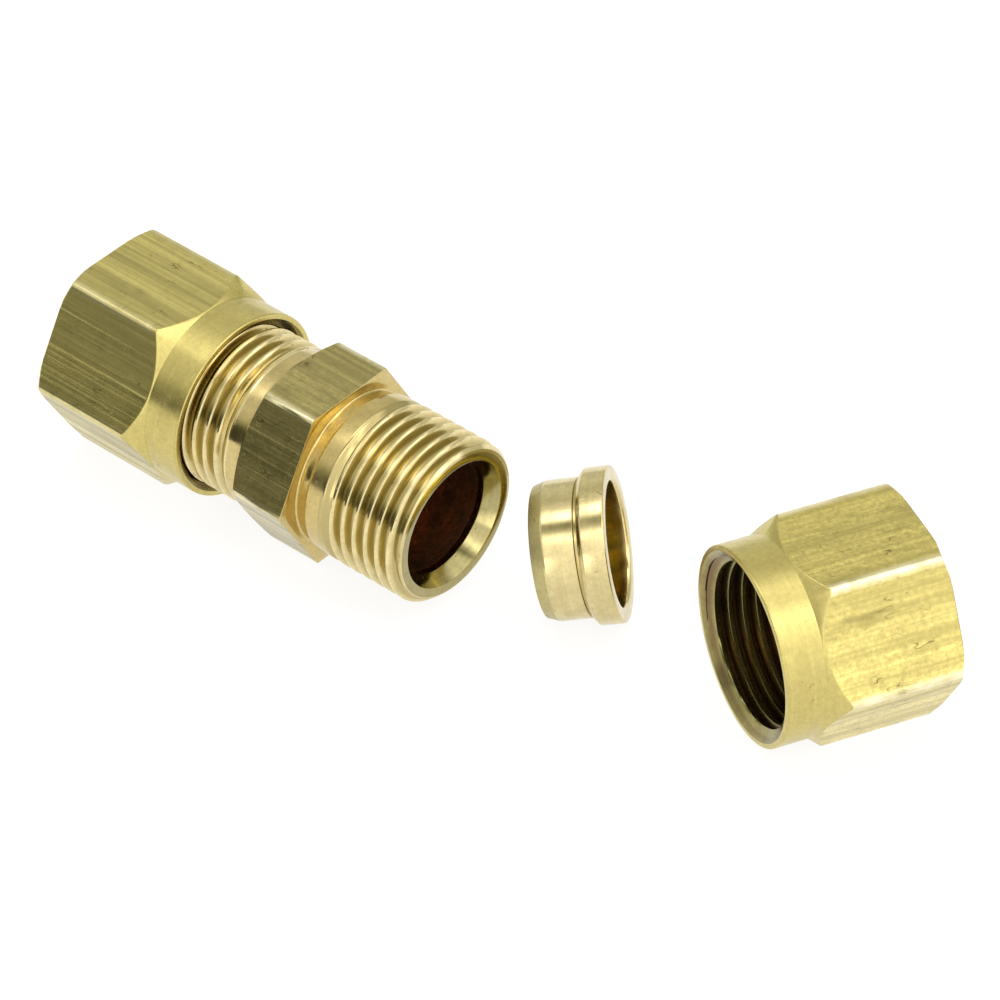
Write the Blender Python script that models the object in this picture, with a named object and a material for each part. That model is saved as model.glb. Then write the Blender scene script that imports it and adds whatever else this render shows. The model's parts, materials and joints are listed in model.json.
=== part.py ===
"""Brass compression union for 3/8 in (9.5 mm) tube, one end made up and one end taken apart.

Five pieces: the union body with a male thread at each end, and for each end a sleeve and a nut.
On the left the nut is screwed part of the way on, with its sleeve inside it. On the right the
sleeve and the nut lie loose on the bench. Metres, +Z up, the bench is z = 0, the body's axis is +X.
"""
import math

import bmesh
import bpy
from mathutils import Matrix, Vector

MM = 0.001
SIDES = 24  # points round every section, a multiple of 12 so that hexagon corners fall on points
MERGE = 1e-7  # points closer than this are one point
SMOOTH_ANGLE = math.radians(35)

# Thread, shared by the body and the nuts (right-handed, 60 degree form)
PITCH = 1.15 * MM
THREAD_R = 6.85 * MM  # male crest
THREAD_DEPTH = 0.5413 * PITCH
THREAD_GAP = 0.20 * MM  # radial room between the male and the female form
RUN_OUT = 1.0 * PITCH  # length over which a thread fades away
GROOVE_EDGE = 1 / 8  # where the groove's floor and the crest end, in pitches from the groove's middle
CREST_EDGE = 7 / 16
THREAD_PHASES = (-GROOVE_EDGE, GROOVE_EDGE, CREST_EDGE, 1 - CREST_EDGE)  # the sections of one pitch
SPARE_PITCHES = 2  # sections beyond each end, which are clamped to the end planes

# Union body, measured along X from its own middle
BODY_HALF = 13.00 * MM
BODY_FLATS = 14.50 * MM  # across the wrench flats
HEX_LEFT = -3.10 * MM
HEX_RIGHT = 2.45 * MM
NECK_R = 6.80 * MM
NECK_LEFT = -4.60 * MM  # where the left thread begins
NECK_RIGHT = 5.00 * MM  # where the right thread begins
LEFT_GROOVE_AT = -12.63 * MM  # middle of a groove of the left thread, on the +Y side
RIGHT_GROOVE_AT = 12.07 * MM
RELIEF_R = 6.45 * MM
RELIEF_END = 3.70 * MM
END_CHAMFER = 0.50 * MM
END_FACE_R = 6.40 * MM
SEAT_R = 5.45 * MM  # mouth of the conical seat
SEAT_DEPTH = 1.35 * MM
TUBE_BORE_R = 4.85 * MM
STOP_HALF = 3.00 * MM  # the tube stops in the middle of the body
STOP_R = 3.95 * MM

# Nut, measured along its own X from its back face to its open rim
NUT_LENGTH = 14.19 * MM
NUT_FLATS = 15.875 * MM
NUT_BACK_R = 8.25 * MM
HEX_CHAMFER = math.radians(30)
CONE_START = 9.50 * MM  # where the corners of the hexagon end
COLLAR_START = 10.85 * MM
COLLAR_R = 7.87 * MM
SHOULDER = 3.10 * MM  # inner face that pushes the sleeve
NUT_THREAD_START = 6.80 * MM
COUNTERSINK = 0.65 * MM
COUNTERSINK_R = 7.45 * MM
EDGE = 0.25 * MM  # small broken edges

# Sleeve, measured along its own X from its nose to the back of its ring
SLEEVE_LENGTH = 6.00 * MM
SLEEVE_BORE_R = 4.86 * MM
NOSE_R = 5.12 * MM
NOSE_LENGTH = 1.06 * MM
SLEEVE_R = 5.46 * MM
GROOVE_START = 3.48 * MM
GROOVE_R = 5.22 * MM
RING_START = 3.80 * MM
RING_R = 6.10 * MM
RING_LEAD = 0.32 * MM  # chamfer on the ring's front edge
RING_EDGE = 0.18 * MM

# Where the pieces lie
AXIS_Z = NUT_FLATS / 2  # the left nut rests on one flat and holds the body level
BODY_AT = Vector((-14.73 * MM, -5.33 * MM, AXIS_Z))
THREADED_ON = 10.05 * MM  # from the left nut's back face to the body's left end
SLEEVE_GAP = 0.30 * MM  # room between the nut's shoulder and the sleeve's ring
NUT_BACK_AT = Vector((29.82 * MM, 10.82 * MM, AXIS_Z))  # right nut, middle of its back face
NUT_HEADING = math.radians(243.5)  # the way its open end points
SLEEVE_RING_AT = Vector((8.02 * MM, 2.52 * MM, 0))  # right sleeve, below the back of its ring
SLEEVE_HEADING = math.radians(216.2)  # the way its nose points

# Where the loose pieces are swung to, in line with the body's right end
NUT_READY_GAP = 15.50 * MM  # from the body's end to the nut's rim
SLEEVE_READY_GAP = 1.60 * MM  # from the body's end to the sleeve's nose

# Plain finishes: colour and roughness
BODY_BRASS = ((0.64, 0.54, 0.29), 0.30)
NUT_BRASS = ((0.62, 0.52, 0.28), 0.32)
SLEEVE_BRASS = ((0.68, 0.57, 0.31), 0.26)


def ramp(x, start, end):
    """0 before start, 1 after end and a straight rise between; start may be above end."""
    return min(max((x - start) / (end - start), 0), 1)


def ring(x, radius):
    """One section of a turned surface."""
    return [(x, radius)] * SIDES


def hex_ring(x, flats, most):
    """A hexagonal section whose corners are turned down to the radius most."""
    points = []
    for i in range(SIDES):
        to_flat = math.remainder(i * math.tau / SIDES - math.pi / 6, math.pi / 3)
        points.append((x, min(flats / 2 / math.cos(to_flat), most)))
    return points


def ridge(x, turn, datum):
    """Height of a male thread, 0 in the groove and 1 on the crest, at x after part of a turn."""
    from_groove = abs(math.remainder((x - datum) / PITCH - turn, 1))
    return ramp(from_groove, GROOVE_EDGE, CREST_EDGE)


def thread_sections(start, end, datum, radius):
    """Sections that follow the helix from plane to plane; radius is a function of x and turn."""
    first = math.floor((start - datum) / PITCH) - SPARE_PITCHES
    last = math.ceil((end - datum) / PITCH) + SPARE_PITCHES
    sections = []
    for pitch in range(first, last):
        for phase in THREAD_PHASES:
            section = []
            for i in range(SIDES):
                turn = i / SIDES
                x = min(max(datum + PITCH * (pitch + phase + turn), start), end)
                section.append((x, radius(x, turn)))
            sections.append(section)
    return sections


def closed_surface(name, runs):
    """A closed solid from runs of sections, in order round its outline.

    A run is (sections, helical). In a helical run each section joins, after a full turn,
    the section that lies one pitch further on. At the run's end the sections that are left are
    fewer than a pitch, so some faces have no width there and are skipped.
    """
    sections = []
    steps = []
    for run, helical in runs:
        for number, section in enumerate(run):
            left = len(run) - 1 - number
            steps.append(min(len(THREAD_PHASES), left) if helical else 0)
            sections.append(section)
    mesh = bmesh.new()
    grid = []
    for section in sections:
        points = []
        for i, (x, radius) in enumerate(section):
            angle = i * math.tau / SIDES
            points.append(mesh.verts.new((x, radius * math.cos(angle), radius * math.sin(angle))))
        grid.append(points)
    for a in range(len(grid)):
        b = (a + 1) % len(grid)
        for i in range(SIDES):
            j = (i + 1) % SIDES
            a_next, b_next = (a + steps[a], b + steps[b]) if j == 0 else (a, b)
            corners = (grid[a][i], grid[a_next][j], grid[b_next][j], grid[b][i])
            if len(set(corners)) == 4:
                mesh.faces.new(corners)
    bmesh.ops.remove_doubles(mesh, verts=mesh.verts, dist=MERGE)
    bmesh.ops.triangulate(mesh, faces=[face for face in mesh.faces if len(face.verts) > 3])
    bmesh.ops.recalc_face_normals(mesh, faces=mesh.faces)
    data = bpy.data.meshes.new(name)
    mesh.to_mesh(data)
    mesh.free()
    data.shade_smooth()
    data.set_sharp_from_angle(angle=SMOOTH_ANGLE)
    return data


def male_thread(start, end, datum):
    """A thread that fades into the neck at start and is chamfered at the body's end."""
    into = math.copysign(1, end)

    def radius(x, turn):
        cut = THREAD_DEPTH * (1 - ridge(x, turn, datum))
        faded = NECK_R + (THREAD_R - cut - NECK_R) * ramp(x, start, start + into * RUN_OUT)
        room = ramp(x, end, end - into * END_CHAMFER)
        return min(faded, END_FACE_R + (THREAD_R - END_FACE_R) * room)

    return thread_sections(min(start, end), max(start, end), datum, radius), True


def union_body():
    """Male thread, neck, wrench hexagon, relief, neck and male thread, with a bore right through."""
    corner = BODY_FLATS / 2 / math.cos(math.pi / 6)
    chamfer = (corner - BODY_FLATS / 2) * math.tan(HEX_CHAMFER)
    middle = [
        ring(HEX_LEFT, NECK_R),
        hex_ring(HEX_LEFT, BODY_FLATS, BODY_FLATS / 2),
        hex_ring(HEX_LEFT + chamfer / 2, BODY_FLATS, (corner + BODY_FLATS / 2) / 2),
        hex_ring(HEX_LEFT + chamfer, BODY_FLATS, corner),
        hex_ring(HEX_RIGHT, BODY_FLATS, corner),
        ring(HEX_RIGHT, RELIEF_R),
        ring(RELIEF_END - EDGE, RELIEF_R),
        ring(RELIEF_END, NECK_R),
    ]
    bore = [
        ring(BODY_HALF, SEAT_R),
        ring(BODY_HALF - SEAT_DEPTH, TUBE_BORE_R),
        ring(STOP_HALF, TUBE_BORE_R),
        ring(STOP_HALF, STOP_R),
        ring(-STOP_HALF, STOP_R),
        ring(-STOP_HALF, TUBE_BORE_R),
        ring(-BODY_HALF + SEAT_DEPTH, TUBE_BORE_R),
        ring(-BODY_HALF, SEAT_R),
    ]
    runs = [
        male_thread(NECK_LEFT, -BODY_HALF, LEFT_GROOVE_AT),
        (middle, False),
        male_thread(NECK_RIGHT, BODY_HALF, RIGHT_GROOVE_AT),
        (bore, False),
    ]
    return closed_surface("union_body", runs)


def nut():
    """Long hexagon nut: a hole for the tube, a shoulder for the sleeve, then the female thread."""
    corner = NUT_FLATS / 2 / math.cos(math.pi / 6)
    chamfer = (corner - NUT_BACK_R) * math.tan(HEX_CHAMFER)
    minor = THREAD_R - THREAD_DEPTH + THREAD_GAP
    cut_end = NUT_THREAD_START + RUN_OUT
    datum = THREADED_ON + BODY_HALF + LEFT_GROOVE_AT  # in step with the thread that it is on
    outside = [
        hex_ring(0, NUT_FLATS, NUT_BACK_R),
        hex_ring(chamfer, NUT_FLATS, corner),
        hex_ring(CONE_START, NUT_FLATS, corner),
        hex_ring((CONE_START + COLLAR_START) / 2, NUT_FLATS, (corner + COLLAR_R) / 2),
        ring(COLLAR_START, COLLAR_R),
        ring(NUT_LENGTH - EDGE, COLLAR_R),
        ring(NUT_LENGTH, COLLAR_R - EDGE),
    ]

    def radius(x, turn):
        groove = THREAD_DEPTH * ridge(x, turn, datum)
        mouth = ramp(x, NUT_LENGTH - COUNTERSINK, NUT_LENGTH)
        return max(
            minor + groove * ramp(x, NUT_THREAD_START, cut_end),
            minor + (COUNTERSINK_R - minor) * mouth,
        )

    thread = thread_sections(NUT_THREAD_START, NUT_LENGTH, datum, radius)
    inside = [
        ring(0, TUBE_BORE_R + EDGE),
        ring(EDGE, TUBE_BORE_R),
        ring(SHOULDER, TUBE_BORE_R),
        ring(SHOULDER, minor),
    ]
    outside.reverse()
    runs = [(outside, False), (inside, False), (thread, True)]
    return closed_surface("nut", runs)


def sleeve():
    """Stepped sleeve: a tapered nose for the seat and a ring that the nut pushes on."""
    sections = [
        ring(0, SLEEVE_BORE_R),
        ring(0, NOSE_R),
        ring(NOSE_LENGTH, SLEEVE_R),
        ring(GROOVE_START, SLEEVE_R),
        ring(GROOVE_START, GROOVE_R),
        ring(RING_START, GROOVE_R),
        ring(RING_START, RING_R - RING_LEAD),
        ring(RING_START + RING_LEAD, RING_R),
        ring(SLEEVE_LENGTH - RING_EDGE, RING_R),
        ring(SLEEVE_LENGTH, RING_R - RING_EDGE),
        ring(SLEEVE_LENGTH, SLEEVE_BORE_R + RING_EDGE),
        ring(SLEEVE_LENGTH - RING_EDGE, SLEEVE_BORE_R),
    ]
    return closed_surface("sleeve", [(sections, False)])


def brass(name, colour, roughness):
    """A plain brass of one colour."""
    material = bpy.data.materials.new(name)
    material.use_nodes = True
    shader = material.node_tree.nodes["Principled BSDF"]
    shader.inputs["Base Color"].default_value = (*colour, 1)
    shader.inputs["Metallic"].default_value = 1
    shader.inputs["Roughness"].default_value = roughness
    return material


def place(name, mesh, finish, where):
    """One named piece with its own mesh and material at a place in the world."""
    data = mesh.copy()
    data.name = name
    data.materials.append(brass(name, *finish))
    piece = bpy.data.objects.new(name, data)
    bpy.context.collection.objects.link(piece)
    piece.matrix_world = where
    return piece


def swing(name, piece, start, end):
    """Hangs a piece on an empty at the axis that turns it from one lie to another.

    A lie is (middle, direction of the piece's axis). The turning axis is square to the
    piece's path and makes the same angle with both directions.
    """
    (from_point, from_axis), (to_point, to_axis) = start, end
    path = to_point - from_point
    axis = (from_axis - to_axis).cross(path).normalized()
    flat_from = from_axis - axis * axis.dot(from_axis)
    flat_to = to_axis - axis * axis.dot(to_axis)
    angle = math.atan2(axis.dot(flat_from.cross(flat_to)), flat_from.dot(flat_to))
    if angle < 0:
        axis, angle = -axis, -angle
    pivot = bpy.data.objects.new(name, None)
    pivot.location = from_point + path / 2 + axis.cross(path) / (2 * math.tan(angle / 2))
    pivot.rotation_mode = "QUATERNION"
    pivot.rotation_quaternion = axis.to_track_quat("Z", "Y")
    pivot["turn_degrees"] = math.degrees(angle)
    bpy.context.collection.objects.link(pivot)
    bpy.context.view_layer.update()
    world = piece.matrix_world.copy()
    piece.parent = pivot
    piece.matrix_parent_inverse = pivot.matrix_world.inverted()
    piece.matrix_world = world


def made_up_end(nut_mesh, sleeve_mesh):
    """The left nut and sleeve, on the body's axis."""
    nut_back = BODY_AT - Vector((BODY_HALF + THREADED_ON, 0, 0))
    ring_back = nut_back + Vector((SHOULDER + SLEEVE_GAP, 0, 0))
    turned = Matrix.Rotation(math.pi, 4, "Z")  # the sleeve's own +X runs from its nose to its ring
    nose = ring_back + Vector((SLEEVE_LENGTH, 0, 0))
    place("left_nut", nut_mesh, NUT_BRASS, Matrix.Translation(nut_back))
    place("left_sleeve", sleeve_mesh, SLEEVE_BRASS, Matrix.Translation(nose) @ turned)


def loose_nut(nut_mesh):
    """The right nut, resting on one flat."""
    heading = Vector((math.cos(NUT_HEADING), math.sin(NUT_HEADING), 0))
    where = Matrix.Translation(NUT_BACK_AT) @ Matrix.Rotation(NUT_HEADING, 4, "Z")
    piece = place("right_nut", nut_mesh, NUT_BRASS, where)
    ready = BODY_AT + Vector((BODY_HALF + NUT_READY_GAP + NUT_LENGTH, 0, 0))
    swing("right_nut_pivot", piece, (NUT_BACK_AT, heading), (ready, Vector((-1, 0, 0))))


def loose_sleeve(sleeve_mesh):
    """The right sleeve, resting on the corners of its ring and of its front part."""
    ring_corner = RING_START + RING_LEAD
    tilt = math.atan2(RING_R - SLEEVE_R, ring_corner - NOSE_LENGTH)
    across = SLEEVE_HEADING + math.pi  # from the nose to the ring, seen from above
    level = Vector((math.cos(across), math.sin(across), 0))
    direction = level * math.cos(tilt) + Vector((0, 0, math.sin(tilt)))
    ring_back = SLEEVE_RING_AT.copy()
    lift = RING_R * math.cos(tilt) + (SLEEVE_LENGTH - ring_corner) * math.sin(tilt)
    ring_back.z = lift
    nose = ring_back - direction * SLEEVE_LENGTH
    lie = Matrix.Rotation(across, 4, "Z") @ Matrix.Rotation(-tilt, 4, "Y")
    where = Matrix.Translation(nose) @ lie
    piece = place("right_sleeve", sleeve_mesh, SLEEVE_BRASS, where)
    ready = BODY_AT + Vector((BODY_HALF + SLEEVE_READY_GAP, 0, 0))
    swing("right_sleeve_pivot", piece, (nose, direction), (ready, Vector((1, 0, 0))))


def main():
    """Builds the five pieces."""
    for old in list(bpy.data.objects):
        bpy.data.objects.remove(old)
    place("union_body", union_body(), BODY_BRASS, Matrix.Translation(BODY_AT))
    nut_mesh = nut()
    sleeve_mesh = sleeve()
    made_up_end(nut_mesh, sleeve_mesh)
    loose_nut(nut_mesh)
    loose_sleeve(sleeve_mesh)


main()
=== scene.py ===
"""Looks for a brass compression union: a body with a nut screwed on its left end, and the
sleeve and nut of its right end lying loose on a white bench.

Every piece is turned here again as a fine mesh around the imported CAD, and gets its brass from
procedural nodes: drawn wrench flats, turned surfaces, threads and bores.
"""
import json
import math

import bmesh
import bpy
import numpy as np
from mathutils import Matrix, Vector


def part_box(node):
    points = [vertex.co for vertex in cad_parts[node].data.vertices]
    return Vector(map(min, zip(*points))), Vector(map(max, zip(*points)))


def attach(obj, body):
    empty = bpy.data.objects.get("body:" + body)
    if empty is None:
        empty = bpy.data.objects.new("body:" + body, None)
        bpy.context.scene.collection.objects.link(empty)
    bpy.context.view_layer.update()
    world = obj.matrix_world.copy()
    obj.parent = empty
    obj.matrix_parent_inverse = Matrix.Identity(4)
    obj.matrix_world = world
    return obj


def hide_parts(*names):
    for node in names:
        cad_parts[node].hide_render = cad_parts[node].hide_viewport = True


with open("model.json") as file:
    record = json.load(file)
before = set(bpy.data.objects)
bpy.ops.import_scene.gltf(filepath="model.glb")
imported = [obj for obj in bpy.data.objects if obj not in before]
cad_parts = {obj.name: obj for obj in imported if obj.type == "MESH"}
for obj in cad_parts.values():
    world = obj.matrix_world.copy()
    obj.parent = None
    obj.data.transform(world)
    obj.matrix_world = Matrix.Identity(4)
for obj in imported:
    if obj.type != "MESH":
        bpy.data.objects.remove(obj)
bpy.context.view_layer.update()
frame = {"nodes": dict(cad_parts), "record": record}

MM = 0.001
# Shapes are in millimetres along each piece's own X, its axis, and scaled when they become meshes.
PITCH = 1.15
THREAD_R = 6.85
THREAD_DEPTH = 0.5413 * PITCH  # of a 60 degree thread
THREAD_GAP = 0.20
RUN_OUT = 1.0 * PITCH
GROOVE_EDGE = 1 / 8  # share of a pitch from a groove's middle to the edge of its floor
CREST_EDGE = 7 / 16  # share of a pitch from a groove's middle to the edge of the crest
ROUNDED = 0.45  # how softly a flank bends into the groove and the crest, from 0 to 1

BODY_HALF = 13.00
BODY_FLATS = 14.50
HEX_LEFT = -3.10
HEX_RIGHT = 2.45
NECK_R = 6.80
NECK_LEFT = -4.60
NECK_RIGHT = 5.00
LEFT_GROOVE_AT = -12.63
RIGHT_GROOVE_AT = 12.07
RELIEF_R = 6.45
RELIEF_END = 3.70
RELIEF_FILLET = 0.22
RELIEF_RUN = 0.22  # length of the slope up to the neck
RELIEF_SOFT = 0.15
RELIEF_TOP = 0.30  # how far below the flats its painted shade starts
END_CHAMFER = 0.50
END_FACE_R = 6.40
END_RING = 0.25  # width of the end face's outer ring, finished like the thread
SEAT_R = 5.45
SEAT_DEPTH = 1.35
SEAT_BORE = 0.50  # length of bore behind the seat that has the seat's brass rather than the bore's painted shade
TUBE_BORE_R = 4.85
STOP_HALF = 3.00
STOP_R = 3.95

NUT_LENGTH = 14.19
NUT_FLATS = 15.875
NUT_BACK_R = 8.25
BACK_RING = 1.20  # width of the flat ring on the nut's back
TUBE_CHAMFER = 0.25
HEX_CHAMFER = math.radians(30)
CONE_START = 9.50
COLLAR_START = 10.85
COLLAR_R = 7.87
COLLAR_RUN = 0.05
RIM_SOFT = 0.14
SHOULDER = 3.10
SHOULDER_FILLET = 0.15
NUT_THREAD_START = 6.80
COUNTERSINK = 0.65
COUNTERSINK_R = 7.45
THREADED_ON = 10.05
NUT_GROOVE_AT = THREADED_ON + BODY_HALF + LEFT_GROOVE_AT

SLEEVE_LENGTH = 6.00
SLEEVE_BORE_R = 4.86
SLEEVE_MOUTH = 0.90  # length of bore at each end that has the outside's brass rather than the bore's painted shade
MOUTH_SOFT = 0.05
NOSE_R = 5.12
NOSE_SOFT = 0.08
NOSE_LENGTH = 1.06
NOSE_BACK = 0.10  # where the nose's duller finish ends, ahead of the cylinder
NOSE_BACK_DROP = 0.034  # how far under the cylinder the nose is there
SLEEVE_R = 5.46
SLEEVE_SOFT = 0.10
GROOVE_START = 3.48
GROOVE_R = 5.22
GROOVE_SOFT = 0.05
GROOVE_FILLET = 0.06
SHADE_HEIGHT = 0.10  # how far up its walls the groove has painted shade
SHADE_EDGE = 0.02  # width of the painted shade's edge
RING_START = 3.80
RING_R = 6.10
RING_LEAD = 0.32
RING_LEAD_SOFT = 0.06
RING_SOFT = 0.10
RING_BACK_SOFT = 0.20
RING_BORE_SOFT = 0.30

EDGE = 0.07  # size of the bevel on a sharp edge; fractions of it place points along the bevel
BODY_SOFT = 0.20  # radius along the corners of the hexagons
NUT_SOFT = 0.45
EVEN = 168  # even points round a section
NEAR_CORNER = (-1.6, -1.0, -0.5, 0.5, 1.0, 1.6)  # further points beside each corner, in degrees
PHASES = 16  # points across one pitch of a thread
MERGE = 1e-7  # metres
SHARP = math.radians(32)  # edges that turn more than this stay crisp

TURNED, FLAT, THREAD, BORE, FACE = range(5)  # slots; FACE is a body's end or a sleeve's nose
LOCAL = "local"  # each vertex's place in millimetres along its piece's own axes
CREST = "crest"  # 1 on a thread's crest and on plain surfaces, 0 in grooves
RECESS_SHADE = 0.35  # as CREST, a painted shade on recesses and the surfaces beside them


# --- sections ---------------------------------------------------------------------------------


def angles_round():
    """Angles of the points of every section, closer together at the hexagon's corners."""
    even = {round(360 * i / EVEN, 4) for i in range(EVEN)}
    close = {round((60 * k + d) % 360, 4) for k in range(6) for d in NEAR_CORNER}
    return np.radians(sorted(even | close))


ROUND = angles_round()
TURN = ROUND / math.tau


def ramp(x, start, end):
    """0 before start, 1 after end and a straight rise between; start may be above end."""
    return np.clip((x - start) / (end - start), 0, 1)


def hexagon(flats, soft):
    """Radius at each angle of a hexagon with softened corners."""
    half = flats / 2
    to_flat = np.mod(ROUND, math.pi / 3) - math.pi / 6
    to_corner = np.abs(math.pi / 6 - np.abs(to_flat))
    centre = (half - soft) / math.cos(math.pi / 6)
    on_flat = half / np.cos(to_flat)
    off = centre * np.sin(to_corner)
    rounded = centre * np.cos(to_corner) + np.sqrt(np.maximum(soft**2 - off**2, 0))
    tangent = math.atan2(soft * math.sin(math.pi / 6), half / math.cos(math.pi / 6) - soft)
    return np.where(to_corner < tangent, rounded, on_flat)


def profile(points, steps=4):
    """Turned sections through (x, radius) points; a third number rounds that corner."""
    sections = []
    for i, point in enumerate(points):
        x, r = point[:2]
        size = point[2] if len(point) > 2 else 0
        if not size:
            sections.append((x, r))
            continue
        here = Vector((x, r))
        back = (Vector(points[i - 1][:2]) - here).normalized()
        on = (Vector(points[i + 1][:2]) - here).normalized()
        for k in range(steps + 1):
            t = k / steps
            at = here + back * size * (1 - t) ** 2 + on * size * t**2
            sections.append((at.x, at.y))
    return sections


def recess_shaded(points):
    """As profile, for a recess darkened with painted shade."""
    return [(x, r, RECESS_SHADE) for x, r in profile(points)]


def ridge(x, datum):
    """Height of a thread, 0 in the groove and 1 on the crest, with its corners softened."""
    phase = (x - datum) / PITCH - TURN
    rise = ramp(np.abs(phase - np.round(phase)), GROOVE_EDGE, CREST_EDGE)
    return (1 - ROUNDED) * rise + ROUNDED * rise * rise * (3 - 2 * rise)


def thread(start, end, datum, shape):
    """Sections that follow the helix from plane to plane; shape gives (radius, crest) at x."""
    first = math.floor((start - datum) / PITCH) - 2
    last = math.ceil((end - datum) / PITCH) + 2
    sections = []
    for step in range(first * PHASES, last * PHASES):
        x = np.clip(datum + PITCH * (step / PHASES + TURN), start, end)
        sections.append((x, *shape(x)))
    return sections


# --- meshes -----------------------------------------------------------------------------------


def turned_mesh(name, runs):
    """A closed mesh from runs of (sections, slot, helical), in order round its outline.

    In a helical run each section joins, after a full turn, the one a pitch further on.
    """
    grid, crests, slots, leaps = [], [], [], []
    for sections, slot, helical in runs:
        for number, section in enumerate(sections):
            x, r, *crest = section
            x, r, crest = np.broadcast_arrays(x, r, crest[0] if crest else 1, ROUND)[:3]
            grid.append(np.stack((x, r * np.cos(ROUND), r * np.sin(ROUND)), axis=1))
            crests.append(crest)
            slots.append(slot)
            leaps.append(min(PHASES, len(sections) - 1 - number) if helical else 0)
    rows, columns = len(grid), len(ROUND)
    faces, face_slots = [], []
    for a in range(rows):
        b = (a + 1) % rows
        for i in range(columns):
            j = (i + 1) % columns
            far_a, far_b = (a + leaps[a], b + leaps[b]) if j == 0 else (a, b)
            corners = (a * columns + i, far_a * columns + j, far_b * columns + j, b * columns + i)
            if len(set(corners)) == 4:
                faces.append(corners)
                face_slots.append(slots[a])
    points = np.concatenate(grid)
    data = bpy.data.meshes.new(name)
    data.from_pydata((points * MM).tolist(), [], faces)
    data.polygons.foreach_set("material_index", face_slots)
    data.attributes.new(LOCAL, "FLOAT_VECTOR", "POINT").data.foreach_set("vector", points.ravel())
    data.attributes.new(CREST, "FLOAT", "POINT").data.foreach_set("value", np.concatenate(crests))
    mesh = bmesh.new()
    mesh.from_mesh(data)
    bmesh.ops.remove_doubles(mesh, verts=mesh.verts, dist=MERGE)
    bmesh.ops.dissolve_degenerate(mesh, edges=mesh.edges, dist=MERGE)
    bmesh.ops.recalc_face_normals(mesh, faces=mesh.faces)
    mesh.to_mesh(data)
    mesh.free()
    data.shade_smooth()
    data.set_sharp_from_angle(angle=SHARP)
    return data


def male_thread(start, end, datum, neck):
    """A thread that fades into the neck, the neck darkened as neck says (down to a painted shade),
    and is chamfered at its end.
    """
    into = math.copysign(1, end)

    def shape(x):
        crest = ridge(x, datum)
        fade = ramp(x, start, start + into * RUN_OUT)
        cut = NECK_R + (THREAD_R - THREAD_DEPTH * (1 - crest) - NECK_R) * fade
        room = ramp(x, end, end - into * END_CHAMFER)
        radius = np.minimum(cut, END_FACE_R + (THREAD_R - END_FACE_R) * room)
        return radius, neck + (crest - neck) * fade

    return thread(min(start, end), max(start, end), datum, shape)


def union_body():
    """Male thread, neck, wrench hexagon, relief, neck and male thread, with a bore through."""
    around = hexagon(BODY_FLATS, BODY_SOFT)
    half = BODY_FLATS / 2
    cut = HEX_LEFT + (around - half) * math.tan(HEX_CHAMFER)
    left = profile([(NECK_LEFT, NECK_R), (HEX_LEFT, NECK_R), (HEX_LEFT, half - EDGE)])
    bevel = [(HEX_LEFT, np.minimum(around, half) - EDGE / 2)]
    bevel.append((np.maximum(cut - EDGE, HEX_LEFT), around - EDGE * 1.2))
    flats = [(cut + EDGE, around), (HEX_RIGHT - EDGE, around)]
    face = [(HEX_RIGHT - EDGE * 0.3, around - EDGE * 0.3), (HEX_RIGHT, around - EDGE)]
    # The relief is darkened with painted shade.
    relief = recess_shaded([
        (HEX_RIGHT, half - RELIEF_TOP),
        (HEX_RIGHT, RELIEF_R, RELIEF_FILLET),
        (RELIEF_END - RELIEF_RUN, RELIEF_R, RELIEF_SOFT),
        (RELIEF_END, NECK_R, EDGE),
        (NECK_RIGHT, NECK_R),
    ])
    clean = BODY_HALF - SEAT_DEPTH - SEAT_BORE
    right_face = profile([
        (BODY_HALF, END_FACE_R - END_RING),
        (BODY_HALF, SEAT_R + EDGE),
        (BODY_HALF - EDGE / 2, SEAT_R - EDGE / 2),
        (BODY_HALF - SEAT_DEPTH, TUBE_BORE_R, EDGE),
        (clean, TUBE_BORE_R),
    ])
    bore = profile([
        (clean, TUBE_BORE_R),
        (STOP_HALF, TUBE_BORE_R),
        (STOP_HALF, STOP_R, EDGE),
        (-STOP_HALF, STOP_R, EDGE),
        (-STOP_HALF, TUBE_BORE_R),
        (-clean, TUBE_BORE_R),
    ])
    left_face = [(-x, r) for x, r in reversed(right_face)]
    return turned_mesh("union_body", [
        (male_thread(NECK_LEFT, -BODY_HALF, LEFT_GROOVE_AT, 1), THREAD, True),
        (left + bevel, TURNED, False),
        (flats, FLAT, False),
        (face + relief, TURNED, False),
        # The right neck beside the relief is darkened with painted shade.
        (male_thread(NECK_RIGHT, BODY_HALF, RIGHT_GROOVE_AT, RECESS_SHADE), THREAD, True),
        (right_face, FACE, False),
        (bore, BORE, False),
        (left_face, FACE, False),
    ])


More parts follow.
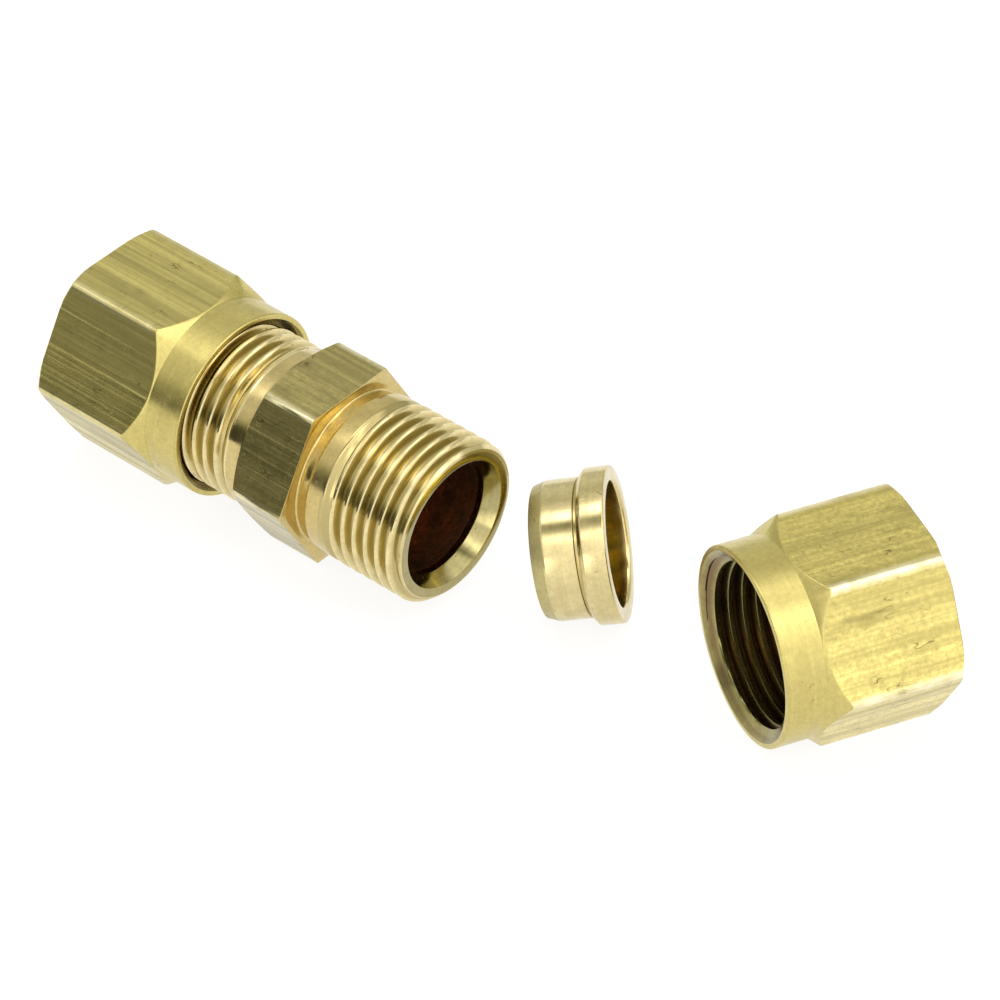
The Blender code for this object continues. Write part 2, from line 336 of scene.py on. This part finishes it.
def nut():
    """Long hexagon nut: a hole for the tube, a shoulder for the sleeve, then the female thread."""
    around = hexagon(NUT_FLATS, NUT_SOFT)
    corner = around.max()
    minor = THREAD_R - THREAD_DEPTH + THREAD_GAP
    cut = np.maximum(around - NUT_BACK_R, 0) * math.tan(HEX_CHAMFER)
    slope = (corner - COLLAR_R) / (COLLAR_START - CONE_START)
    cone = CONE_START + (corner - around) / slope
    back = [
        (0, TUBE_BORE_R + TUBE_CHAMFER),
        (0, NUT_BACK_R - BACK_RING),
        (0, np.minimum(around, NUT_BACK_R) - EDGE),
        (EDGE * 0.3, np.minimum(around, NUT_BACK_R) - EDGE * 0.3),
        (np.maximum(cut - EDGE, EDGE * 0.6), around - EDGE * 0.6),
    ]
    flats = [(cut + EDGE, around), (cone - EDGE, around)]
    collar = [
        (cone + EDGE, around - EDGE * slope),
        (COLLAR_START, COLLAR_R),
    ]
    rim = profile([
        (COLLAR_START + COLLAR_RUN, COLLAR_R),
        (NUT_LENGTH, COLLAR_R, RIM_SOFT),
        (NUT_LENGTH, COUNTERSINK_R),
    ])

    def shape(x):
        cut = ridge(x, NUT_GROOVE_AT) * ramp(x, NUT_THREAD_START, NUT_THREAD_START + RUN_OUT)
        mouth = ramp(x, NUT_LENGTH - COUNTERSINK, NUT_LENGTH)
        countersunk = minor + (COUNTERSINK_R - minor) * mouth
        return np.maximum(minor + THREAD_DEPTH * cut, countersunk), np.maximum(1 - cut, mouth)

    inside = profile([
        (NUT_THREAD_START, minor),
        (SHOULDER, minor, SHOULDER_FILLET),
        (SHOULDER, TUBE_BORE_R, EDGE),
        (TUBE_CHAMFER, TUBE_BORE_R),
        (0, TUBE_BORE_R + TUBE_CHAMFER),
    ])
    inner_thread = thread(NUT_THREAD_START, NUT_LENGTH, NUT_GROOVE_AT, shape)
    outside = [(back, TURNED), (flats, FLAT), (collar + rim, TURNED)]
    runs = [(sections[::-1], slot, False) for sections, slot in reversed(outside)]
    runs += [(inside[::-1], BORE, False), (inner_thread, THREAD, True)]
    return turned_mesh("nut", runs)


def sleeve():
    """Stepped sleeve: a tapered nose for the seat and a ring that the nut pushes on."""
    nose = profile([
        (SLEEVE_MOUTH, SLEEVE_BORE_R),
        (0, SLEEVE_BORE_R, MOUTH_SOFT),
        (0, NOSE_R, NOSE_SOFT),
        (NOSE_LENGTH - NOSE_BACK, SLEEVE_R - NOSE_BACK_DROP),
    ])
    outline = profile([
        (NOSE_LENGTH - NOSE_BACK, SLEEVE_R - NOSE_BACK_DROP),
        (NOSE_LENGTH, SLEEVE_R, SLEEVE_SOFT),
        (GROOVE_START, SLEEVE_R, GROOVE_SOFT),
        (GROOVE_START, GROOVE_R + SHADE_HEIGHT + SHADE_EDGE),
    ])
    # The sleeve's groove is darkened with painted shade.
    outline += recess_shaded([
        (GROOVE_START, GROOVE_R + SHADE_HEIGHT),
        (GROOVE_START, GROOVE_R, GROOVE_FILLET),
        (RING_START, GROOVE_R, GROOVE_FILLET),
        (RING_START, GROOVE_R + SHADE_HEIGHT),
    ])
    outline += profile([
        (RING_START, GROOVE_R + SHADE_HEIGHT + SHADE_EDGE),
        (RING_START, RING_R - RING_LEAD, RING_LEAD_SOFT),
        (RING_START + RING_LEAD, RING_R, RING_SOFT),
        (SLEEVE_LENGTH, RING_R, RING_BACK_SOFT),
        (SLEEVE_LENGTH, SLEEVE_BORE_R, RING_BORE_SOFT),
        (SLEEVE_LENGTH - SLEEVE_MOUTH, SLEEVE_BORE_R),
    ])
    bore = profile([
        (SLEEVE_LENGTH - SLEEVE_MOUTH, SLEEVE_BORE_R),
        (SLEEVE_MOUTH, SLEEVE_BORE_R),
    ])
    return turned_mesh("sleeve", [
        (nose, FACE, False),
        (outline, TURNED, False),
        (bore, BORE, False),
    ])


# --- brass ------------------------------------------------------------------------------------


class Nodes:
    """A short way to add and join shader nodes."""

    def __init__(self, tree):
        self.tree = tree
        self.tree.nodes.clear()

    def add(self, kind, inputs=None, **settings):
        node = self.tree.nodes.new(kind)
        for key, value in settings.items():
            setattr(node, key, value)
        for key, value in (inputs or {}).items():
            if isinstance(value, bpy.types.NodeSocket):
                self.tree.links.new(value, node.inputs[key])
            else:
                node.inputs[key].default_value = value
        return node

    def math(self, operation, a, b=0.0, c=0.0):
        node = self.add("ShaderNodeMath", {0: a, 1: b, 2: c}, operation=operation)
        return node.outputs[0]

    def mapped(self, value, low, high, to_low=0.0, to_high=1.0):
        inputs = {"Value": value, 1: low, 2: high, 3: to_low, 4: to_high}
        return self.add("ShaderNodeMapRange", inputs).outputs[0]

    def mix(self, share, a, b):
        """Colour a, turning into b as share goes from 0 to 1."""
        return self.add("ShaderNodeMix", {0: share, 6: a, 7: b}, data_type="RGBA").outputs[2]

    def over(self, base, colour, cover, most):
        """The base with a colour laid over it, as cover says and never more than most."""
        return self.mix(self.math("MULTIPLY", cover, most), base, colour)

    def noise(self, vector, scale, detail=3.0, rough=0.55):
        inputs = {"Vector": vector, "Scale": scale, "Detail": detail, "Roughness": rough}
        return self.add("ShaderNodeTexNoise", inputs).outputs["Fac"]


def tint(colour, share=1.0):
    """A share of a colour, as a node's input takes it."""
    return (*(c * share for c in colour), 1.0)


SEED_SHIFT = (17.3, 9.1, 5.7)  # millimetres between the patterns of one seed and the next
RING_DRIFT_PER_MM = 0.25
RING_DRIFT = 3.0  # how far the rings wander off true


class Brass(Nodes):
    """One brass material, painted in millimetres along its piece's own axes."""

    def __init__(self, name, seed):
        self.material = bpy.data.materials.new(name)
        self.material.use_nodes = True
        super().__init__(self.material.node_tree)
        self.local = self.add("ShaderNodeAttribute", attribute_name=LOCAL).outputs["Vector"]
        shift = tuple(seed * step for step in SEED_SHIFT)  # so no two pieces are marked alike
        self.point = self.add("ShaderNodeVectorMath", {0: self.local, 1: shift}).outputs[0]

    def patches(self, per_mm, low, high, detail=3.0, rough=0.55):
        """Patches with soft edges: 0 where the noise is under low and 1 where it is over high."""
        return self.mapped(self.noise(self.point, per_mm, detail, rough), low, high)

    def grain(self, along, across, detail=4.0, rough=0.6):
        """Noise with so many marks per millimetre along the axis and across it."""
        scale = {0: self.point, 1: (along, across, across)}
        stretched = self.add("ShaderNodeVectorMath", scale, operation="MULTIPLY").outputs[0]
        return self.noise(stretched, 1.0, detail, rough)

    def radius(self):
        y, z = self.add("ShaderNodeSeparateXYZ", {0: self.local}).outputs[1:]
        return self.math("SQRT", self.math("MULTIPLY_ADD", y, y, self.math("MULTIPLY", z, z)))

    def rings(self, per_mm):
        """Noise in rings round the axis, as a lathe tool leaves on cylinders and on faces."""
        x = self.add("ShaderNodeSeparateXYZ", {0: self.local}).outputs["X"]
        inputs = {
            "X": self.math("MULTIPLY", x, per_mm),
            "Y": self.math("MULTIPLY", self.radius(), per_mm),
            "Z": self.math("MULTIPLY", self.noise(self.point, RING_DRIFT_PER_MM), RING_DRIFT),
        }
        flow = self.add("ShaderNodeCombineXYZ", inputs).outputs[0]
        return self.noise(flow, 1.0, detail=3.0, rough=0.6)

    def done(self, colour, roughness, height):
        """The material, with its relief's height in millimetres."""
        relief = {"Strength": 1.0, "Distance": MM, "Height": height}
        bump = self.add("ShaderNodeBump", relief).outputs[0]
        inputs = {"Base Color": colour, "Metallic": 1.0, "Roughness": roughness, "Normal": bump}
        shader = self.add("ShaderNodeBsdfPrincipled", inputs)
        self.add("ShaderNodeOutputMaterial", {"Surface": shader.outputs[0]})
        return self.material


# Relief of the marks, in millimetres.
DING = -0.006
PIT = -0.006
LINE = 0.004
SPECKLE = 0.004
DRILL_RING = 0.004
DRAWN_WAVE = 0.038  # on a clean flat
MOTTLED_WAVE = 0.014  # on a fully mottled one

WEAR_AND_HIGHLIGHT_FROM = 0.24  # millimetres inside a hexagon's corner where wear and the painted highlight begin
WEAR_AND_HIGHLIGHT_FULL = 0.05


def turned_brass(name, seed, colour, groove, rough, lathe):
    """Brass off a lathe, with its rings as deep as lathe says and its grooves darkened."""
    n = Brass(name, seed)
    crest = n.add("ShaderNodeAttribute", attribute_name=CREST).outputs["Fac"]
    rings = n.rings(4.0)
    tarnish = n.patches(0.6, 0.38, 0.70, detail=4.0)
    dings = n.patches(1.7, 0.67, 0.72)
    grit = n.patches(2.6, 0.32, 0.70, detail=4.0, rough=0.7)
    low = n.mapped(n.math("MULTIPLY_ADD", tarnish, -0.2, crest), 0.95, 0.3)
    base = n.over(tint(colour), tint(colour, 0.80), tarnish, most=0.5)
    base = n.over(base, tint(colour, 0.64), n.mapped(rings, 0.3, 0.7), most=0.4)
    base = n.mix(low, base, tint(groove))
    base = n.over(base, tint(colour, 0.45), grit, most=0.35)
    base = n.over(base, tint(STAIN), dings, most=0.35)
    roughness = n.math("MULTIPLY_ADD", low, 0.05, rough)
    roughness = n.math("MULTIPLY_ADD", tarnish, 0.08, roughness)
    height = n.math("MULTIPLY_ADD", dings, DING, n.math("MULTIPLY", rings, lathe))
    return n.done(base, roughness, height)


def drawn_brass(name, seed, colour, rough, corner, mottled):
    """Brass from a drawn hexagon bar: streaked along its length, its corners brightened by wear and
    by a painted highlight.
    """
    n = Brass(name, seed)
    streaks = n.mapped(n.grain(0.02, 0.8, detail=3.0), 0.30, 0.68)
    lines = n.mapped(n.grain(0.03, 4.0, detail=2.0, rough=0.5), 0.34, 0.70)
    cloud = n.patches(0.45, 0.34, 0.68, detail=5.0, rough=0.65)
    speckle = n.patches(2.6, 0.30, 0.72, detail=4.0, rough=0.7)
    smudges = n.mapped(n.grain(0.10, 0.45, detail=3.0), 0.56, 0.68)
    pits = n.mapped(n.grain(0.7, 2.2, rough=0.7), 0.66, 0.72)
    off_line = n.math("ABSOLUTE", n.math("SUBTRACT", n.grain(0.30, 0.8, detail=2.0), 0.5))
    here = n.patches(0.45, 0.60, 0.66, detail=1.0)
    scratches = n.math("MULTIPLY", n.mapped(off_line, 0.014, 0.004), here)
    # Corner brightening: partly wear, partly a painted highlight.
    wear_and_highlight = n.mapped(n.radius(), corner - WEAR_AND_HIGHLIGHT_FROM, corner - WEAR_AND_HIGHLIGHT_FULL)
    wear_and_highlight = n.math("MULTIPLY", wear_and_highlight, n.mapped(cloud, 1.0, 0.2, 0.3 * mottled, 1.2 * mottled))
    base = n.mix(streaks, tint(colour, 1.56), tint(colour, 0.66))
    base = n.over(base, tint(colour, 0.66), cloud, most=0.2 + 0.4 * mottled)
    base = n.over(base, tint(colour, 0.45), speckle, most=mottled)
    base = n.over(base, tint(colour, 0.46), lines, most=0.50)
    base = n.over(base, tint(colour, 0.30), smudges, most=0.8 * mottled)
    base = n.over(base, tint(STAIN), n.math("MAXIMUM", pits, scratches), most=0.75)
    base = n.mix(wear_and_highlight, base, tint(WEAR_AND_HIGHLIGHT))
    roughness = n.math("MULTIPLY_ADD", streaks, 0.10, rough - 0.05)
    roughness = n.math("MULTIPLY_ADD", wear_and_highlight, -0.10, roughness)
    wave = DRAWN_WAVE + (MOTTLED_WAVE - DRAWN_WAVE) * mottled
    height = n.math("MULTIPLY_ADD", streaks, wave, n.math("MULTIPLY", lines, LINE))
    height = n.math("MULTIPLY_ADD", speckle, SPECKLE * mottled, height)
    height = n.math("MULTIPLY_ADD", pits, PIT, height)
    return n.done(base, roughness, height)


def bored_brass(name, seed, colour, rough):
    """Brass inside a bore: darkened in patches as painted shade, with drill rings."""
    n = Brass(name, seed)
    rings = n.rings(3.0)
    # Patches of painted shade inside the bore.
    shade_patches = n.patches(0.5, 0.38, 0.60, detail=5.0)
    base = n.mix(shade_patches, tint(colour, 1.4), tint(colour, 0.25))
    base = n.over(base, tint(colour, 0.4), n.mapped(rings, 0.35, 0.65), most=0.5)
    roughness = n.math("MULTIPLY_ADD", shade_patches, 0.12, rough)
    return n.done(base, roughness, n.math("MULTIPLY", rings, DRILL_RING))


# Base colours of the brasses, and of the marks on them.
GOLD = (0.70, 0.585, 0.20)
DULL_GOLD = (0.67, 0.565, 0.20)
BRIGHT_GOLD = (0.94, 0.78, 0.26)
WARM_GOLD = (0.72, 0.57, 0.25)
TARNISHED = (0.58, 0.485, 0.19)
PALE = (0.78, 0.65, 0.32)
DULL_PALE = (0.60, 0.515, 0.235)
STAIN = (0.12, 0.085, 0.03)
CREAM = (0.93, 0.78, 0.41)
# Near-white corner colour: wear and a painted highlight.
WEAR_AND_HIGHLIGHT = (1.0, 0.90, 0.60)
DEEP_GOLD = (0.65, 0.505, 0.20)
OLIVE_GOLD = (0.50, 0.405, 0.165)
# Dim colour of a body's end faces and seat: painted shade.
DIM = (0.46, 0.395, 0.175)
DRAB = (0.40, 0.355, 0.14)
COPPERY = (0.70, 0.40, 0.20)
HONEY = (0.72, 0.54, 0.08)
# Near-black brass for inside a nut: painted shade.
NUT_INSIDE_SHADE = (0.22, 0.135, 0.06)


def body_brasses(node, seed):
    """Materials of one piece in the order of its slots: turned, flat, thread, bore and face."""
    corner = hexagon(BODY_FLATS, BODY_SOFT).max()
    return (
        turned_brass(node + "_turned", seed, WARM_GOLD, DEEP_GOLD, rough=0.11, lathe=0.0012),
        drawn_brass(node + "_flats", seed + 1, TARNISHED, rough=0.25, corner=corner, mottled=0.6),
        turned_brass(node + "_thread", seed + 2, CREAM, OLIVE_GOLD, rough=0.10, lathe=0.0022),
        bored_brass(node + "_bore", seed + 3, COPPERY, rough=0.24),
        # The end faces and seat get a dim colour as painted shade, to darken what they reflect.
        turned_brass(node + "_face", seed + 4, DIM, DIM, rough=0.10, lathe=0.0020),
    )


def nut_brasses(node, seed, colour, mottled):
    """As body_brasses, with flats of a given colour; a nut shows no face."""
    corner = hexagon(NUT_FLATS, NUT_SOFT).max()
    return (
        turned_brass(node + "_turned", seed, GOLD, DEEP_GOLD, rough=0.25, lathe=0.0040),
        drawn_brass(node + "_flats", seed + 1, colour, rough=0.28, corner=corner, mottled=mottled),
        # Inside the nut, the thread's dim colours and the dark bore are painted shade.
        turned_brass(node + "_thread", seed + 2, DRAB, NUT_INSIDE_SHADE, rough=0.20, lathe=0.0025),
        bored_brass(node + "_bore", seed + 3, NUT_INSIDE_SHADE, rough=0.20),
    )


def sleeve_brasses(node, seed):
    """As body_brasses; a sleeve has no flats and no thread, and its face is its duller nose."""
    turned = turned_brass(node + "_turned", seed, PALE, OLIVE_GOLD, rough=0.14, lathe=0.0024)
    bored = bored_brass(node + "_bore", seed + 3, HONEY, rough=0.16)
    nose = turned_brass(node + "_nose", seed + 4, DULL_PALE, OLIVE_GOLD, rough=0.36, lathe=0.0024)
    return turned, turned, turned, bored, nose


# --- pieces -----------------------------------------------------------------------------------


BODY_OF = {
    node: body for body, nodes in frame["record"]["behaviour"]["bodies"].items() for node in nodes
}


def stand(node, data, where, brasses):
    """The finished piece for one CAD node, moved to where and set on that node's body."""
    data = data.copy()
    data.transform(where)
    for material in brasses:
        data.materials.append(material)
    piece = bpy.data.objects.new(node + "_brass", data)
    bpy.context.scene.collection.objects.link(piece)
    piece.modifiers.new("flat_normals", "WEIGHTED_NORMAL").keep_sharp = True
    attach(piece, BODY_OF[node])
    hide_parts(node)


def pointing(direction):
    """Rotation that takes +X to a direction and keeps +Z as near up as it can."""
    x = Vector(direction).normalized()
    y = Vector((0, 0, 1)).cross(x).normalized()
    z = x.cross(y)
    return Matrix((x, y, z)).transposed().to_4x4()


def union_in_nut(nut_data, sleeve_data):
    """The body with the nut and the sleeve of its left end, all on one level axis."""
    low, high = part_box("union_body")
    middle = (low + high) / 2
    body = Matrix.Translation(middle)
    stand("union_body", union_body(), body, body_brasses("union_body", 1))
    back = Matrix.Translation((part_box("left_nut")[0].x, middle.y, middle.z))
    dull = nut_brasses("left_nut", 11, DULL_GOLD, mottled=0.30)
    stand("left_nut", nut_data, back, dull)
    nose = Matrix.Translation((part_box("left_sleeve")[1].x, middle.y, middle.z))
    turned_round = nose @ Matrix.Rotation(math.pi, 4, "Z")
    pale = sleeve_brasses("left_sleeve", 21)
    stand("left_sleeve", sleeve_data, turned_round, pale)


def loose_nut(nut_data):
    """The right nut, lying on one of its flats with its back where the tube goes in."""
    mount = next(m for m in frame["record"]["mounts"] if m["name"] == "right_tube_entry_face")
    low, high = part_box("right_nut")
    back = Vector((mount["pos_m"][0], mount["pos_m"][1], (low.z + high.z) / 2))
    where = Matrix.Translation(back) @ pointing(-Vector(mount["axis"]))
    bright = nut_brasses("right_nut", 31, BRIGHT_GOLD, mottled=0.80)
    stand("right_nut", nut_data, where, bright)


def loose_sleeve(sleeve_data):
    """The right sleeve, tipped over on its ring and its nose; its points give its axis."""
    points = np.array([v.co for v in frame["nodes"]["right_sleeve"].data.vertices])
    unique = np.unique(points.round(7), axis=0)
    mean = unique.mean(axis=0)
    axis = Vector(np.linalg.eigh(np.cov((unique - mean).T))[1][:, 0])
    axis = axis if axis.z > 0 else -axis  # the ring is wider, so its end lies higher
    nose = Vector(mean) + axis * float(((unique - mean) @ np.array(axis)).min())
    where = Matrix.Translation(nose) @ pointing(axis)
    pale = sleeve_brasses("right_sleeve", 41)
    stand("right_sleeve", sleeve_data, where, pale)


# --- bench, light and camera ------------------------------------------------------------------

CAMERA_AZIMUTH = math.radians(40.56)
CAMERA_ELEVATION = math.radians(41.01)
CAMERA_DISTANCE = 0.38898
CAMERA_LENS = 176.72
CAMERA_SENSOR = 36
CAMERA_NEAR = 0.01
CAMERA_FAR = 20
AIM = Vector((-0.00694, 0.00605, 0))  # point of the bench in the middle of the view

BENCH_HALF = 3.0
BENCH_DROP = 0.00003  # keeps the bench clear of the pieces' lowest faces
BENCH_SHADES = (0.13, 0.16)
BENCH_CLOUD = 3.0  # soft patches per metre
BENCH_GLOW = 0.87

# Brightness of the studio by the angle over the bench, in degrees, on an arc from the camera's
# side (0) over the top (90) to the back (180).
FAR_LEFT = (
    (0, 0.20), (4, 0.05), (45, 0.09), (55, 0.22), (69, 0.45), (81, 0.85), (90, 0.85), (99, 1.2),
    (105, 1.2), (118, 0.75), (131, 0.50), (143, 0.60), (165, 0.66), (180, 0.60),
)
LEFT = (
    (0, 0.50), (8, 0.58), (24, 0.70), (40, 0.73), (50, 0.95), (57, 1.2), (65, 1.0), (72, 0.80),
    (81, 0.95), (92, 0.75), (99, 1.0), (106, 1.3), (118, 0.75), (131, 0.50), (143, 0.60),
    (165, 0.66), (180, 0.60),
)
MIDDLE = (
    (0, 1.3), (18, 1.3), (30, 1.45), (42, 1.5), (50, 1.8), (54, 2.4), (58, 3.2), (64, 2.2),
    (68, 1.1), (74, 0.40), (84, 0.30), (88, 0.80), (92, 3.4), (104, 3.2), (109, 1.3), (117, 1.0),
    (124, 0.85), (131, 0.74), (141, 0.80), (153, 0.85), (165, 0.85), (180, 0.70),
)
RIGHT = (
    (0, 1.25), (17, 1.45), (46, 1.5), (50, 2.2), (60, 1.8), (67, 2.3), (72, 3.2), (78, 2.2),
    (84, 1.6), (95, 1.4), (106, 1.65), (117, 1.1), (127, 0.66), (138, 0.74), (149, 0.75),
    (160, 0.65), (180, 0.62),
)
BRIGHTEST = 4.0
# Where each arc fades into the next, from the view's left (-1) to its right (1).
FADES = ((-0.90, -0.80, LEFT), (-0.65, -0.35, MIDDLE), (0.10, 0.22, RIGHT))
# A low upright light on the camera's side: where it fades in and out, and its height as a share
# of the arc.
STRIP_LEFT = (-0.47, -0.44)
STRIP_RIGHT = (-0.31, -0.34)
STRIP_TOP = (0.16, 0.14)
STRIP_LEVEL = 1.6
DARK_AND_BRIGHT = (0.3, 1.0)  # levels between which the light turns from its one tint to the other
DARK_TINT = (0.96, 1.0, 0.72)
BRIGHT_TINT = (1.0, 0.995, 0.98)
WHITE = (1.0, 1.0, 1.0)


def bench():
    """A wide matt plate under the pieces that glows like a light table."""
    corners = [(x * BENCH_HALF, y * BENCH_HALF, 0) for x, y in ((-1, -1), (1, -1), (1, 1), (-1, 1))]
    mesh = bpy.data.meshes.new("bench")
    mesh.from_pydata(corners, [], [(0, 1, 2, 3)])
    top = bpy.data.objects.new("bench", mesh)
    bpy.context.scene.collection.objects.link(top)
    top.location.z = -BENCH_DROP
    material = bpy.data.materials.new("bench_white")
    material.use_nodes = True
    n = Nodes(material.node_tree)
    place = n.add("ShaderNodeTexCoord").outputs["Object"]
    shade = n.mapped(n.noise(place, BENCH_CLOUD), 0.2, 0.8, *BENCH_SHADES)
    channels = {"Red": shade, "Green": shade, "Blue": shade}
    colour = n.add("ShaderNodeCombineColor", channels).outputs[0]
    shader = n.add("ShaderNodeBsdfPrincipled", {"Base Color": colour, "Roughness": 0.6})
    shader.inputs["Emission Color"].default_value = tint(WHITE)
    shader.inputs["Emission Strength"].default_value = BENCH_GLOW
    n.add("ShaderNodeOutputMaterial", {"Surface": shader.outputs[0]})
    mesh.materials.append(material)


def studio():
    """A white studio as a world: soft panels all round, darker on the left, and a low strip."""
    world = bpy.data.worlds.new("studio")
    bpy.context.scene.world = world
    world.use_nodes = True
    n = Nodes(world.node_tree)
    direction = n.add("ShaderNodeTexCoord").outputs["Generated"]
    front = (math.sin(CAMERA_AZIMUTH), -math.cos(CAMERA_AZIMUTH), 0)
    side = (math.cos(CAMERA_AZIMUTH), math.sin(CAMERA_AZIMUTH), 0)

    def part(vector):
        inputs = {0: direction, 1: vector}
        return n.add("ShaderNodeVectorMath", inputs, operation="DOT_PRODUCT").outputs["Value"]

    towards, right, up = part(front), part(side), part((0, 0, 1))
    arc = n.mapped(n.math("ARCTAN2", up, towards), 0, math.pi)

    def panels(stops):
        curve = n.add("ShaderNodeValToRGB", {"Fac": arc})
        colours = curve.color_ramp.elements
        colours.remove(colours[0])
        for k, (degrees, level) in enumerate(stops):
            stop = colours[0] if k == 0 else colours.new(degrees / 180)
            stop.position = degrees / 180
            stop.color = tint(WHITE, level / BRIGHTEST)
        return curve.outputs[0]

    level = panels(FAR_LEFT)
    for start, end, stops in FADES:
        level = n.mix(n.mapped(right, start, end), level, panels(stops))
    level = n.add("ShaderNodeRGBToBW", {"Color": level}).outputs[0]
    level = n.math("MULTIPLY", level, BRIGHTEST)
    strip = n.math("MULTIPLY", n.mapped(right, *STRIP_LEFT), n.mapped(right, *STRIP_RIGHT))
    strip = n.math("MULTIPLY", strip, n.mapped(arc, *STRIP_TOP))
    level = n.math("MULTIPLY_ADD", strip, STRIP_LEVEL, level)
    colour = n.mix(n.mapped(level, *DARK_AND_BRIGHT), tint(DARK_TINT), tint(BRIGHT_TINT))
    shader = n.add("ShaderNodeBackground", {"Color": colour, "Strength": level})
    n.add("ShaderNodeOutputWorld", {"Surface": shader.outputs[0]})


def camera():
    data = bpy.data.cameras.new("camera")
    data.lens = CAMERA_LENS
    data.sensor_width = CAMERA_SENSOR
    data.clip_start = CAMERA_NEAR
    data.clip_end = CAMERA_FAR
    eye = bpy.data.objects.new("camera", data)
    bpy.context.scene.collection.objects.link(eye)
    level = math.cos(CAMERA_ELEVATION)
    away = Vector((
        math.sin(CAMERA_AZIMUTH) * level,
        -math.cos(CAMERA_AZIMUTH) * level,
        math.sin(CAMERA_ELEVATION),
    ))
    eye.location = AIM + away * CAMERA_DISTANCE
    eye.rotation_euler = (math.pi / 2 - CAMERA_ELEVATION, 0, CAMERA_AZIMUTH)
    bpy.context.scene.camera = eye


nut_mesh = nut()
sleeve_mesh = sleeve()
union_in_nut(nut_mesh, sleeve_mesh)
loose_nut(nut_mesh)
loose_sleeve(sleeve_mesh)
bench()
studio()
camera()
bpy.context.scene.view_settings.view_transform = "Standard"
